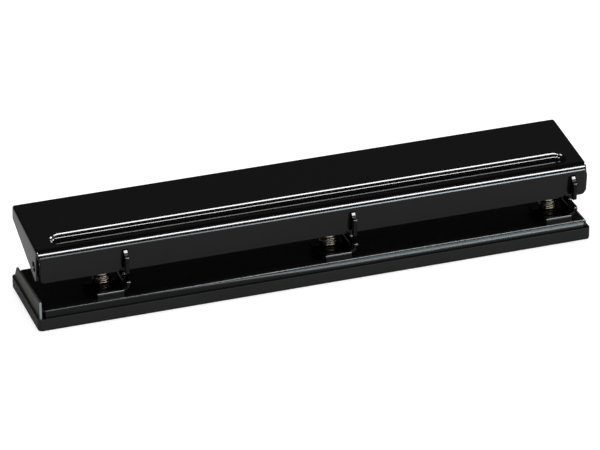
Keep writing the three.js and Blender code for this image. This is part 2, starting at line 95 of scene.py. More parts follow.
# Middle of the groove, half its width, width of its steep far wall, and the depth that the saddles allow it
GROOVE_Y, GROOVE_HALF, GROOVE_WALL, GROOVE_DEPTH = 9.2, 5.2, 1.2, 2.1
GROOVE_START, GROOVE_END = HANDLE_LOW[0] + 8.4, HANDLE_HIGH[0] - 7.7

# Inner face of each head's ear and middle of its tabs, from the pin
EAR_FACE, TAB_MIDDLE = 8.4, 3.6
HEAD_SHEET = 1.6
PLATE_UNDER = BASE_HIGH[2] + 1.5
PLATE_TOP = PLATE_UNDER + HEAD_SHEET
WEB_FRONT = PIN_Y - 12.3
WEB_BACK = WEB_FRONT + HEAD_SHEET
HEAD_BACK = WEB_FRONT + 17.4


def on_handle(points):
    """Points of the handle's own frame, turned back by the tilt about X and set at the top of its front
    face."""
    points = np.asarray(points, float)
    y = points[..., 1] * math.cos(TILT) - points[..., 2] * math.sin(TILT) + HANDLE_FRONT
    z = points[..., 1] * math.sin(TILT) + points[..., 2] * math.cos(TILT) + HANDLE_TOP
    return np.stack([points[..., 0], y, z], axis=-1)


HINGE = on_handle([0, SHEET / 2, STRIP - SKIRT])
ROD = on_handle([0, ROD_BACK, -ROD_DOWN])


# Shader maths

class Value:
    """A shader socket that takes part in sums: each operator adds one Math node."""

    def __init__(self, tree, socket):
        self.tree, self.socket = tree, socket

    def sum(self, operation, first, second):
        """A Math node of this operation on two parts, each a value or a number."""
        node = self.tree.nodes.new("ShaderNodeMath")
        node.operation = operation
        for slot, part in zip(node.inputs, (first, second)):
            if isinstance(part, Value):
                self.tree.links.new(part.socket, slot)
            else:
                slot.default_value = part
        return Value(self.tree, node.outputs[0])

    def __add__(self, other):
        return self.sum("ADD", self, other)

    __radd__ = __add__

    def __sub__(self, other):
        return self.sum("SUBTRACT", self, other)

    def __rsub__(self, other):
        return self.sum("SUBTRACT", other, self)

    def __mul__(self, other):
        return self.sum("MULTIPLY", self, other)

    __rmul__ = __mul__

    def power(self, exponent):
        """The value raised to an exponent."""
        return self.sum("POWER", self, exponent)

    def above(self, limit):
        """1 where the value is above the limit and 0 elsewhere."""
        return self.sum("GREATER_THAN", self, limit)


class Finish:
    """A material with one Principled shader, and one method for every other node."""

    def __init__(self, name, **constants):
        self.material = bpy.data.materials.new(name)
        self.material.use_nodes = True
        self.tree = self.material.node_tree
        self.tree.nodes.clear()
        out = self.tree.nodes.new("ShaderNodeOutputMaterial")
        self.shader = self.tree.nodes.new("ShaderNodeBsdfPrincipled")
        self.tree.links.new(self.shader.outputs[0], out.inputs["Surface"])
        for socket, value in constants.items():
            self.shader.inputs[socket.replace("_", " ")].default_value = value

    def node(self, kind, settings=None, output=0, **sockets):
        """Adds a node of a kind, sets it up, feeds its sockets, and gives one of its outputs."""
        node = self.tree.nodes.new(kind)
        for name, value in (settings or {}).items():
            if name == "stops":
                ramp = node.color_ramp
                while len(ramp.elements) < len(value):
                    ramp.elements.new(0.5)
                for element, (place, colour) in zip(ramp.elements, value):
                    element.position, element.color = place, colour
            else:
                setattr(node, name, value)
        for name, value in sockets.items():
            slot = next(s for s in node.inputs
                        if s.enabled and name in (s.name.replace(" ", "_"), s.identifier))
            if isinstance(value, Value):
                self.tree.links.new(value.socket, slot)
            else:
                slot.default_value = value
        return Value(self.tree, node.outputs[output])

    def own(self):
        """The piece's own coordinates in metres."""
        return self.node("ShaderNodeTexCoord", output="Object")

    def along(self, axis):
        """One of the piece's own coordinates: 0 for X, 1 for Y and 2 for Z."""
        return self.node("ShaderNodeSeparateXYZ", output=axis, Vector=self.own())

    def place(self, stretch=(1, 1, 1)):
        """The piece's own coordinates, stretched by a factor per axis."""
        return self.node("ShaderNodeMapping", Vector=self.own(), Scale=stretch)

    def noise(self, place, scale, detail=2.0, roughness=0.5):
        """Noise from 0 to 1, with about as many waves to one unit of the place as the scale says."""
        return self.node("ShaderNodeTexNoise", Vector=place, Scale=scale, Detail=detail, Roughness=roughness)

    def blend(self, share, one, other):
        """One colour where the share is 0 and the other where it is 1."""
        return self.node("ShaderNodeMix", {"data_type": "RGBA"}, output=2,
                         Factor=share, A_Color=one, B_Color=other)

    def feed(self, **sockets):
        """Links values to the shader's sockets of these names."""
        for name, value in sockets.items():
            self.tree.links.new(value.socket, self.shader.inputs[name.replace("_", " ")])

    def bump(self, height, strength=1.0, distance=1.0):
        """Bump whose height is measured in this distance, in metres."""
        self.feed(Normal=self.node("ShaderNodeBump", Height=height, Strength=strength, Distance=distance))


def black_enamel(name, colour, roughness, peel, index=1.31, dull_ends=False):
    """Stoved enamel: near-black gloss with a faint orange peel, cloudy gloss and a few grains of dust. The
    roughness goes up and down with clouds and grain about the value given."""
    cloudy, grainy, duller = 0.07, 0.03, 0.20
    dust_reach, dust_lift = 0.055, 0.008
    f = Finish(name, IOR=index, Metallic=0.0)
    place = f.place()
    clouds = f.noise(place, 45.0, detail=3.0)
    grain = f.noise(place, 2600.0, detail=1.0)
    cells = f.node("ShaderNodeTexVoronoi", Vector=place, Scale=330.0)
    dust = (1 - cells.above(dust_reach)) * clouds.above(0.5)
    dusty = tuple(c + dust_lift for c in colour[:3]) + (1,)
    f.feed(Base_Color=f.blend(dust, colour, dusty))
    ends = end_share(f, 0.3) * duller if dull_ends else 0.0
    f.feed(Roughness=clouds * cloudy + grain * grainy + (ends + (roughness - (cloudy + grainy) / 2)))
    f.bump(f.noise(place, 520.0, detail=2.0) * (peel * 0.04 * MM))
    return f.material


def end_share(f, depth):
    """1 in the last stretch at each end of the handle: there the square of X from the middle is above the
    square of half the length less the depth."""
    middle = (HANDLE_HIGH[0] + HANDLE_LOW[0]) / 2
    reach = (HANDLE_HIGH[0] - HANDLE_LOW[0]) / 2 - depth
    return (f.along(0) - middle * MM).power(2).above((reach * MM) ** 2)


def guide_enamel():
    """Matt enamel, with a painted highlight: a pale colour along the strip's front edge."""
    painted_highlight_width = 0.25
    f = Finish("guide_enamel", IOR=1.2, Metallic=0.0)
    place = f.place()
    clouds = f.noise(place, 160.0, detail=3.0)
    # Painted highlight: the front 0.25 mm of the strip gets a pale colour in place of a lit edge.
    painted_highlight = 1 - f.along(1).above((GUIDE_LOW[1] + painted_highlight_width) * MM)
    coat = f.blend(clouds, (0.020, 0.020, 0.018, 1), (0.031, 0.031, 0.028, 1))
    f.feed(Base_Color=f.blend(painted_highlight, coat, (0.24, 0.26, 0.27, 1)))
    f.feed(Roughness=clouds * 0.15 + 0.42)
    f.bump(f.noise(place, 1500.0, detail=2.0), 0.3, 0.03 * MM)
    return f.material


def tray_plastic():
    """Moulded plastic with a fine spark-eroded grain, a little paler where the grain stands up, and a rough
    foot coloured near-black as a painted contact shadow."""
    # Height of the foot, below which the colour is a painted contact shadow
    foot = 0.55
    f = Finish("tray_plastic", IOR=1.14, Metallic=0.0)
    place = f.place()
    grain = f.noise(place, 3800.0, detail=3.0, roughness=0.65)
    clouds = f.noise(place, 30.0, detail=3.0)
    above_painted_shadow = f.along(2).above(foot * MM)
    plain = f.blend(grain * 0.5 + clouds * 0.3, (0.006, 0.006, 0.0058, 1), (0.020, 0.020, 0.019, 1))
    # Painted contact shadow: near-black below the foot's height, the plain grain above it.
    f.feed(Base_Color=f.blend(above_painted_shadow, (0.0006, 0.0006, 0.0006, 1), plain))
    f.feed(Roughness=clouds * 0.12 + grain * 0.10 - above_painted_shadow * 0.4 + 0.82)
    f.bump(grain, 0.35, 0.03 * MM)
    return f.material


def turned_steel(name, colour, stretch, shade=0.7):
    """Bright steel with fine tool marks drawn out along the directions that the stretch leaves long."""
    f = Finish(name, Metallic=1.0)
    marks = f.noise(f.place(stretch), 1.0, detail=3.0, roughness=0.7)
    darker = tuple(shade * c for c in colour[:3]) + (1,)
    f.feed(Base_Color=f.blend(marks, colour, darker))
    f.feed(Roughness=marks * 0.22 + 0.18)
    f.bump(marks, 0.25, 0.02 * MM)
    return f.material


def rod_steel():
    """Bright steel like the pins', with painted shade at its two cut ends: there it is near-black and not
    metallic.
    """
    f = Finish("rod_steel", IOR=1.06)
    marks = f.noise(f.place((4000, 300, 300)), 1.0, detail=3.0, roughness=0.7)
    # Painted shade: the last 1.1 mm at each end is near-black, so the rod's ends look dark in their holes.
    end = end_share(f, 1.1)
    bright = f.blend(marks, (0.62, 0.61, 0.58, 1), (0.42, 0.41, 0.39, 1))
    f.feed(Base_Color=f.blend(end, bright, (0.006, 0.006, 0.006, 1)))
    f.feed(Metallic=1 - end)
    f.feed(Roughness=marks * 0.22 + 0.16)
    f.bump(marks, 0.2, 0.02 * MM)
    return f.material


def spring_wire():
    """Drawn wire: warm steel with lines along the wire, read from the coil's own UV map."""
    f = Finish("spring_wire", Metallic=1.0)
    uv = f.node("ShaderNodeUVMap", {"uv_map": "wire"})
    drawn_out = f.node("ShaderNodeMapping", Vector=uv, Scale=(9, 160, 1))
    lines = f.noise(drawn_out, 1.0, detail=3.0, roughness=0.6)
    tint = f.noise(f.place(), 420.0)
    f.feed(Base_Color=f.blend(lines * 0.6 + tint * 0.4, (0.036, 0.027, 0.019, 1), (0.015, 0.011, 0.008, 1)))
    f.feed(Roughness=lines * 0.10 + 0.10)
    f.bump(lines, 0.1, 0.01 * MM)
    return f.material


ENAMEL = black_enamel("handle_enamel", (0.0015, 0.0015, 0.0017, 1), 0.14, 0.05, index=1.305, dull_ends=True)
BASE_ENAMEL = black_enamel("base_enamel", (0.0010, 0.0010, 0.0011, 1), 0.25, 0.05, index=1.25)
HEAD_ENAMEL = black_enamel("head_enamel", (0.0008, 0.0008, 0.0009, 1), 0.06, 0.05, index=1.24)
GUIDE_ENAMEL = guide_enamel()
BLACKED = black_enamel("blacked_steel", (0.0040, 0.0040, 0.0040, 1), 0.35, 0.10)
PLASTIC = tray_plastic()
PIN_STEEL = turned_steel("pin_steel", (0.60, 0.59, 0.57, 1), (250, 250, 5000))
ROD_STEEL = rod_steel()
WIRE = spring_wire()


# Surfaces

def net(points, keep=None, ring=False):
    """Quads between neighbouring points of a grid of rows and columns. A ring joins its last column to its
    first."""
    rows, cols = points.shape[:2]
    index = np.arange(rows * cols).reshape(rows, cols)
    if ring:
        index = np.hstack([index, index[:, :1]])
    quads = np.stack([index[:-1, :-1], index[:-1, 1:], index[1:, 1:], index[1:, :-1]], axis=-1)
    quads = quads.reshape(-1, 4) if keep is None else quads[keep]
    return points.reshape(-1, 3), [tuple(q) for q in quads.tolist()]


def piece(name, points, faces):
    """A mesh object at the origin from points in millimetres, with doubles merged and faces turned
    outwards."""
    mesh = bpy.data.meshes.new(name)
    mesh.from_pydata((np.asarray(points) * MM).tolist(), [], faces)
    work = bmesh.new()
    work.from_mesh(mesh)
    bmesh.ops.remove_doubles(work, verts=work.verts, dist=MERGE * MM)
    loose = [v for v in work.verts if not v.link_faces]
    bmesh.ops.delete(work, geom=loose, context="VERTS")
    bmesh.ops.recalc_face_normals(work, faces=work.faces)
    work.to_mesh(mesh)
    work.free()
    mesh.shade_smooth()
    obj = bpy.data.objects.new(name, mesh)
    bpy.context.scene.collection.objects.link(obj)
    return obj


def settle(obj):
    """Puts what the object's modifiers make into its mesh, and takes the modifiers off."""
    graph = bpy.context.evaluated_depsgraph_get()
    made = obj.evaluated_get(graph)
    mesh = bpy.data.meshes.new_from_object(made, preserve_all_data_layers=True, depsgraph=graph)
    obj.modifiers.clear()
    obj.data = mesh
    return obj


def join(obj, others, how="UNION"):
    """Union, difference or intersection of an object with others, which are used up."""
    for other in others:
        step = obj.modifiers.new(how, "BOOLEAN")
        step.operation, step.solver, step.object = how, "EXACT", other
    settle(obj)
    for other in others:
        bpy.data.objects.remove(other)
    return obj


def points_of(obj):
    """The mesh's points in millimetres, one to a row."""
    places = np.empty(len(obj.data.vertices) * 3)
    obj.data.vertices.foreach_get("co", places)
    return places.reshape(-1, 3) / MM


def move_points(obj, points):
    """Puts the mesh's points at these places, in millimetres."""
    obj.data.vertices.foreach_set("co", (points * MM).ravel())


def soften(obj, width, segments=2, angle=38, level=0.6):
    """Joins faces that are level with each other, rounds every edge sharper than the angle, and weights the
    normals so that flat faces stay flat."""
    work = bmesh.new()
    work.from_mesh(obj.data)
    bmesh.ops.remove_doubles(work, verts=work.verts, dist=MERGE * MM)
    bmesh.ops.dissolve_limit(work, angle_limit=math.radians(level), verts=work.verts, edges=work.edges)
    work.to_mesh(obj.data)
    work.free()
    obj.data.shade_smooth()
    step = obj.modifiers.new("Rounded edges", "BEVEL")
    step.width, step.segments, step.limit_method = width * MM, segments, "ANGLE"
    step.angle_limit = math.radians(angle)
    step.use_clamp_overlap = True
    return even(settle(obj))


def even(obj):
    """Weights the normals by the faces' areas, so that flat faces look flat beside small round ones."""
    step = obj.modifiers.new("Even normals", "WEIGHTED_NORMAL")
    step.weight, step.keep_sharp = 60, False
    return obj


def dress(obj, body, material, slot, *nodes):
    """Gives a piece its material and body, and hides the nodes of the model that it stands for. The slot is
    not used.
    """
    obj.data.materials.clear()
    obj.data.materials.append(material)
    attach(obj, body)
    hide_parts(*nodes)
    return obj


def arc(centre, radius, start, end, steps):
    """Points round a circle from one angle to another, in degrees."""
    angle = np.radians(np.linspace(start, end, steps + 1))
    return np.stack([centre[0] + radius * np.cos(angle), centre[1] + radius * np.sin(angle)], axis=-1)


def rounded(corner_list, steps=8):
    """Outline from corners (u, v, radius): each radius is an arc that touches both sides of its corner."""
    given = np.array([(c + (0,))[:3] for c in corner_list], float)
    spots, radii = given[:, :2], given[:, 2]
    before = np.roll(spots, 1, axis=0) - spots
    after = np.roll(spots, -1, axis=0) - spots
    before /= np.linalg.norm(before, axis=1, keepdims=True)
    after /= np.linalg.norm(after, axis=1, keepdims=True)
    parts = []
    for here, radius, b, a in zip(spots, radii, before, after):
        if radius == 0:
            parts.append(here[None])
            continue
        half = math.acos(float(b @ a)) / 2
        middle = here + (b + a) / np.linalg.norm(b + a) * radius / math.sin(half)
        start = here + b * radius / math.tan(half) - middle
        end = here + a * radius / math.tan(half) - middle
        sweep = math.atan2(start[0] * end[1] - start[1] * end[0], float(start @ end))
        angle = sweep * np.linspace(0, 1, steps + 1)
        turn = np.stack([start[0] * np.cos(angle) - start[1] * np.sin(angle),
                         start[0] * np.sin(angle) + start[1] * np.cos(angle)], axis=-1)
        parts.append(middle + turn)
    return np.vstack(parts)


def prism(name, outline, axis, low, high):
    """An outline carried straight along an axis: two copies of it, joined by a band of quads and two flat
    ends."""
    n = len(outline)
    others = [k for k in range(3) if k != axis]
    points = np.zeros((2, n, 3))
    points[:, :, others] = outline
    points[0, :, axis], points[1, :, axis] = low, high
    flat, faces = net(points, ring=True)
    return piece(name, flat, faces + [tuple(range(n)), tuple(range(n, 2 * n))])


def block(name, low, high):
    """A box from its lowest to its highest corner."""
    outline = np.array([(low[0], low[1]), (high[0], low[1]), (high[0], high[1]), (low[0], high[1])])
    return prism(name, outline, 2, low[2], high[2])


def turned(name, profile, spot, along=2, steps=48):
    """A closed profile (radius, height) swept round an axis through a spot. Points on the axis merge into
    poles."""
    profile = np.array(profile, float)
    angle = np.linspace(0, 2 * math.pi, steps, endpoint=False)
    points = np.zeros((len(profile) + 1, steps, 3))
    closed = np.vstack([profile, profile[:1]])
    others = [k for k in range(3) if k != along]
    points[..., others[0]] = closed[:, :1] * np.cos(angle)
    points[..., others[1]] = closed[:, :1] * np.sin(angle)
    points[..., along] = closed[:, 1:]
    flat, faces = net(points + np.asarray(spot, float), ring=True)
    return piece(name, flat, faces)


def bar(name, radius, low, high, spot, along=2):
    """A plain round bar about an axis through a spot, to cut a hole with."""
    return turned(name, [(0, low), (radius, low), (radius, high), (0, high)], spot, along)


def eased(profile, radius, steps=4):
    """A closed profile with every corner off the axis rounded by one small radius."""
    return rounded([(r, z, 0 if r <= 0 else radius) for r, z in profile], steps)


class Run:
    """One direction of a drawn sheet: straight lines between two bends, and what hangs beyond each bend.
    Each line has the place of its bend's centre, its angle round the bend, its fall below it and its side."""

    def __init__(self, low, high, bends, lines, falls, steps=8):
        quarter = np.linspace(0, 90, steps + 1)[1:]
        core, angle, fall, side, bend = [], [], [], [], []

        def add(c, a, f, s, b):
            """Adds lines, where a single number stands for all of them."""
            n = max(np.size(a), np.size(f), np.size(c))
            for store, value in zip((core, angle, fall, side, bend), (c, a, f, s, b)):
                store.append(np.broadcast_to(value, n))

        start = low + (bends[0] or 0)
        end = high - (bends[1] or 0)
        if bends[0]:
            add(start, 90, np.array(falls[0])[::-1], -1, bends[0])
            add(start, quarter[::-1], 0, -1, bends[0])
        inside = np.unique(np.round([v for v in lines if start < v < end] + [start, end], 4))
        add(inside, 0, 0, 0, 0)
        if bends[1]:
            add(end, quarter, 0, 1, bends[1])
            add(end, 90, np.array(falls[1]), 1, bends[1])
        columns = (np.concatenate(v).astype(float) for v in (core, angle, fall, side, bend))
        self.core, self.angle, self.fall, self.side, self.bend = columns
        self.angle = np.radians(self.angle)

    def middles(self):
        """Angle, fall and side halfway between neighbouring lines."""
        return [(v[1:] + v[:-1]) / 2 for v in (self.angle, self.fall, self.side)]


def drawn_sheet(along, across, depth_along, depth_across):
    """Outside of a sheet drawn over a block. With A and B the angles round the bends along X and Y, the
    normal is (sin A, sin B, cos A cos B) made one long, a point lies one bend radius out along it from the
    bend's centre, and hangs below the bend by its fall times the depth that is left on that side."""
    sin_a, cos_a = np.sin(along.angle)[None, :], np.cos(along.angle)[None, :]
    sin_b, cos_b = np.sin(across.angle)[:, None], np.cos(across.angle)[:, None]
    length = np.sqrt(sin_a ** 2 + sin_b ** 2 + (cos_a * cos_b) ** 2)
    x = along.core + along.side * along.bend * sin_a / length
    y = across.core[:, None] + (across.side * across.bend)[:, None] * sin_b / length
    never_zero = 1e-9
    both = np.maximum(sin_a ** 2 + sin_b ** 2, never_zero)
    bend = (along.bend * sin_a ** 2 + across.bend[:, None] * sin_b ** 2) / both
    z = -bend * (1 - cos_a * cos_b / length)
    z = z - along.fall * (depth_along(y) - bend) - across.fall[:, None] * (depth_across(x) - bend)
    return np.stack([x, y, z], axis=-1)


def sheet_thickness(obj, thickness):
    """Gives the outside of a sheet its thickness, inwards."""
    step = obj.modifiers.new("Sheet", "SOLIDIFY")
    step.thickness, step.offset = thickness * MM, -1
    step.use_even_offset, step.use_quality_normals = True, True
    return settle(obj)


def smooth_step(share):
    """Goes from 0 to 1 with no slope at either end: three times the square less twice the cube."""
    share = np.clip(share, 0, 1)
    return share * share * (3 - 2 * share)


def face_up(obj):
    """Turns an open sheet so that its largest upward part faces up."""
    if sum(p.normal.z * p.area for p in obj.data.polygons) < 0:
        obj.data.flip_normals()
    return obj


# Handle

# Depths below the top at which the front skirt has a row, and the same as shares of its fall below the bend
LEVELS = np.array([WINDOW_TOP, 5.6, 7.0, 10.0, SKIRT - STRIP, 14.5, SKIRT])
FRONT_FALLS = (LEVELS - FOLD) / (SKIRT - FOLD)
# Slope of the groove's wall in degrees at places counted in from its outline
WALL_PLACES = (-0.1, 0.0, 0.1, 0.5, 0.58, 1.15, 1.25, 1.45, 1.6, 2.4, 3.6)
WALL_SLOPES = (0, 36, 42, 48, 58, 58, 46, 40, 26, 14, 0)


def window_sides():
    """X of the left and right side of each window in the front skirt."""
    ears = [spot[0] + EAR_FACE for spot in PINS.values()]
    return [(ear - WINDOW_SIDE, ear + HEAD_SHEET + WINDOW_SIDE) for ear in ears]


def handle_lines(x0, x1, windows):
    """X of the sheet's lines: even ones, the windows' sides, and close ones at the groove's tips and at the
    front skirt's lower corners."""
    wide, close, closest, tip_reach = 9.0, 0.16, 0.08, 1.2
    lines = [np.arange(x0 + 6, x1 - 4, wide), *windows]
    for tip, inwards in ((GROOVE_START, 1), (GROOVE_END, -1)):
        lines.append(tip + inwards * np.arange(-0.3, tip_reach, closest))
        lines.append(tip + inwards * np.arange(tip_reach, GROOVE_HALF + 1, close))
    corner = np.linspace(0, SKIRT_CORNER, 7)
    return np.concatenate([*lines, x0 + LEFT_FOLD + corner, x1 - RIGHT_FOLD - corner])


def handle_rows():
    """Y of the sheet's rows: close ones over the groove, closer ones at its far wall, and a few behind it."""
    close, closest = 0.16, 0.07
    far_rim = GROOVE_Y + GROOVE_HALF
    return np.concatenate([np.arange(GROOVE_Y - GROOVE_HALF - 0.5, far_rim - GROOVE_WALL, close),
                           np.arange(far_rim - GROOVE_WALL, far_rim + 0.3, closest),
                           np.linspace(18, 40, 9)])


def end_skirt_depth(y):
    """Full depth as far as the shoulder, then a straight slope down to the back lip's depth. At the front a
    quarter circle rounds the toe."""
    shoulder, toe_front, toe = 3.6, 2.25, 1.4
    length = HANDLE_DEPTH - BACK_FOLD - shoulder
    straight = END_SKIRT - (END_SKIRT - BACK_LIP) / length * np.clip(y - shoulder, 0, length)
    inward = np.clip(y - toe_front, 0, toe)
    return straight - (toe - np.sqrt(toe ** 2 - (toe - inward) ** 2))


def front_skirt_depth(x):
    """Full depth, less a quarter circle's rise at each lower corner."""
    from_end = np.minimum(x - (HANDLE_LOW[0] + SKIRT_LEFT), (HANDLE_HIGH[0] - SKIRT_RIGHT) - x)
    inward = np.clip(from_end, 0, SKIRT_CORNER)
    rise = SKIRT_CORNER - np.sqrt(SKIRT_CORNER ** 2 - (SKIRT_CORNER - inward) ** 2)
    return SKIRT - rise


def run_flat_to_right(points, along, across, front):
    """Lets the front skirt's right end run on flat instead of round the bend. With A the angle round the
    bend, X becomes the bend's centre plus its radius times sin A, and Y half the fourth power of sin A, and
    both come in over the first stretch of the fall."""
    at_right = (along.side > 0) & (along.fall == 0)
    share = smooth_step(across.fall / 0.3)[:, None] * front * at_right[None, :]
    turn = np.sin(along.angle)[None, :]
    points[..., 0] += share * ((along.core + along.bend * turn) - points[..., 0])
    points[..., 1] += share * (0.5 * turn ** 4 - points[..., 1])


def groove_depth(points):
    """The running sum of the wall's slope, counted in from a long rounded outline, times a squared cosine
    that lets the floor rise gently to the near side."""
    nearest = np.clip(points[..., 0], GROOVE_START + GROOVE_HALF, GROOVE_END - GROOVE_HALF)
    inward = GROOVE_HALF - np.hypot(points[..., 0] - nearest, points[..., 1] - GROOVE_Y)
    step_in = np.linspace(-0.15, WALL_PLACES[-1], 376)
    slope = np.tan(np.radians(np.interp(step_in, WALL_PLACES, WALL_SLOPES)))
    wall = np.interp(inward, step_in, np.cumsum(slope) * (step_in[1] - step_in[0]))
    wall_foot = GROOVE_Y + GROOVE_HALF - GROOVE_WALL
    across_share = np.clip((wall_foot - points[..., 1]) / (2 * GROOVE_HALF - GROOVE_WALL), 0, 1)
    return wall * np.cos(across_share * math.pi / 2) ** 2


def handle_quads(along, across, windows):
    """True for each quad of the sheet that is there: none hangs below two bends at once, the front skirt
    stops short of both ends, the end skirts start behind the front bend, and the windows are open."""
    left_stop = HANDLE_LOW[0] + SKIRT_LEFT
    right_stop, end_skirt_stop = math.radians(80), math.radians(25)
    angle_x, fall_x, _ = along.middles()
    angle_y, fall_y, side_y = across.middles()
    x = (along.core[1:] + along.core[:-1]) / 2
    front = side_y < 0
    past_end = np.where(x < 0, x < left_stop, angle_x > right_stop)
    keep = ~((fall_x > 0)[None, :] & (fall_y > 0)[:, None])
    keep &= ~(((fall_y > 0) & front)[:, None] & past_end[None, :])
    keep &= ~((fall_x > 0)[None, :] & ((angle_y > end_skirt_stop) & front)[:, None])
    height = np.interp(fall_y, np.append(0, FRONT_FALLS), np.append(FOLD, LEVELS))
    between = (height > WINDOW_TOP) & (height < SKIRT - STRIP) & front
    for left, right in windows:
        keep &= ~(between[:, None] & ((x > left) & (x < right))[None, :])
    return keep


def handle_piece():
    """Drawn sheet with skirts all round, three windows over a strip in the front skirt, a pressed groove, and
    a hole for the rod through both ends."""
    x0, x1, overrun = HANDLE_LOW[0], HANDLE_HIGH[0], 3
    windows = window_sides()
    end_falls = np.linspace(0, 1, 7)[1:]
    along = Run(x0, x1, (LEFT_FOLD, RIGHT_FOLD), handle_lines(x0, x1, windows), (end_falls, end_falls))
    across = Run(0, HANDLE_DEPTH, (FOLD, BACK_FOLD), handle_rows(), (FRONT_FALLS, end_falls))
    front = (across.side < 0)[:, None]
    points = drawn_sheet(along, across, end_skirt_depth,
                         lambda x: np.where(front, front_skirt_depth(x), BACK_LIP))
    run_flat_to_right(points, along, across, front)
    flat = (along.angle[None, :] == 0) & (across.angle[:, None] == 0)
    points[..., 2] -= np.where(flat, groove_depth(points), 0)
    keep = handle_quads(along, across, windows)
    obj = face_up(piece("handle_shell", *net(on_handle(points), keep)))
    sheet_thickness(obj, SHEET)
    join(obj, [bar("rod_hole", ROD_RADIUS + GAP, x0 - overrun, x1 + overrun, ROD, along=0)], "DIFFERENCE")
    return even(rounded_rims(obj, 0.16))


def rounded_rims(obj, width, angle=48):
    """Rounds the rims of a thick sheet."""
    obj.data.shade_smooth()
    step = obj.modifiers.new("Rims", "BEVEL")
    step.width, step.segments, step.limit_method = width * MM, 2, "ANGLE"
    step.angle_limit = math.radians(angle)
    return settle(obj)


dress(handle_piece(), "handle", ENAMEL, "black_enamel", "handle")


# Rod, retainers and saddles, in the handle's frame

def rod_piece():
    """A bar with eased ends, a little shorter than the handle."""
    set_back = 0.5
    x0, x1 = HANDLE_LOW[0] + set_back, HANDLE_HIGH[0] - set_back
    profile = eased([(0, x0), (ROD_RADIUS, x0), (ROD_RADIUS, x1), (0, x1)], 0.4)
    return even(turned("press_rod_bar", profile, ROD, along=0))


def retainer_piece(side):
    """A washer round the rod."""
    low, high = corners(f"rod_retainer_{side}")
    inner, outer = ROD_RADIUS + GAP, 4.5
    profile = eased([(inner, low[0]), (outer, low[0]), (outer, high[0]), (inner, high[0])], 0.15, 3)
    return even(turned(f"rod_washer_{side}", profile, ROD, along=0))


def saddle_piece(side):
    """A half ring over the rod, a leg up from it and a foot under the groove, as one outline carried along
    X."""
    inner, sheet, foot, half_width = ROD_RADIUS + GAP, 1.2, 5.5, 4
    outer = inner + sheet
    centre = (ROD_BACK, -ROD_DOWN)
    top = -SHEET - GROOVE_DEPTH - GAP
    meet = math.degrees(math.acos(sheet / outer))
    outline = np.vstack([
        arc(centre, inner, 180, 0, 16),
        arc(centre, outer, 0, meet, 8),
        [(ROD_BACK + sheet, top - sheet), (ROD_BACK + foot, top - sheet)],
        [(ROD_BACK + foot, top), (ROD_BACK, top)],
        arc(centre, outer, 90, 180, 10),
    ])
    x = PINS[side][0]
    obj = prism(f"rod_cradle_{side}", outline, 0, x - half_width, x + half_width)
    move_points(obj, on_handle(points_of(obj)))
    return soften(obj, 0.15)


dress(rod_piece(), "handle", ROD_STEEL, "bright_steel", "press_rod")
for side in ("left", "right"):
    dress(retainer_piece(side), "handle", BLACKED, "black_enamel", f"rod_retainer_{side}")
for side in SIDES:
    dress(saddle_piece(side), "handle", ENAMEL, "black_enamel", f"rod_saddle_{side}")


# Base plate, edge guide and chip tray

def base_piece():
    """Drawn sheet with lips at the front, right and back, die holes under the pins and slots for the heads'
    tabs."""
    bend, depth = 2.5, BASE_HIGH[2] - BASE_LOW[2]
    relief = BASE_LOW[0] + 1.4
    falls = np.linspace(0, 1, 4)[1:]
    lines = np.append(np.arange(BASE_LOW[0] + 8, BASE_HIGH[0] - 4, 12.0), relief)
    rows = np.append(BASE_LOW[1] + np.arange(2.8, 6.0, 0.4), np.linspace(-15, 15, 7))
    along = Run(BASE_LOW[0], BASE_HIGH[0], (None, bend), lines, (None, falls))
    across = Run(BASE_LOW[1], BASE_HIGH[1], (bend, bend), rows, (falls, falls), steps=18)
    points = drawn_sheet(along, across, lambda y: depth, lambda x: depth)
    points[..., 2] += BASE_HIGH[2]
    fall_x, (angle_y, fall_y, _) = along.middles()[1], across.middles()
    x = (along.core[1:] + along.core[:-1]) / 2
    keep = ~((fall_x > 0)[None, :] & (fall_y > 0)[:, None])
    keep &= ~((angle_y > 0)[:, None] & (x < relief)[None, :])
    obj = face_up(piece("base_sheet", *net(points, keep)))
    sheet_thickness(obj, SHEET)
    join(obj, base_cutters(), "DIFFERENCE")
    shape_lip(obj, bend, depth)
    return even(rounded_rims(obj, 0.12))


def base_cutters():
    """A round bar under each pin, and two blocks for the tabs of each head."""
    overrun, die_play, half_slot = 2, 0.15, 1.8
    under, over = BASE_HIGH[2] - SHEET - overrun, BASE_HIGH[2] + overrun
    cutters = []
    for spot in PINS.values():
        cutters.append(bar("die_hole", PIN_RADIUS + die_play, under, over, [spot[0], PIN_Y, 0]))
        for middle in (spot[0] - TAB_MIDDLE, spot[0] + TAB_MIDDLE):
            cutters.append(block("tab_slot", (middle - half_slot, WEB_FRONT + GAP, under),
                                 (middle + half_slot, WEB_BACK + GAP, over)))
    return cutters


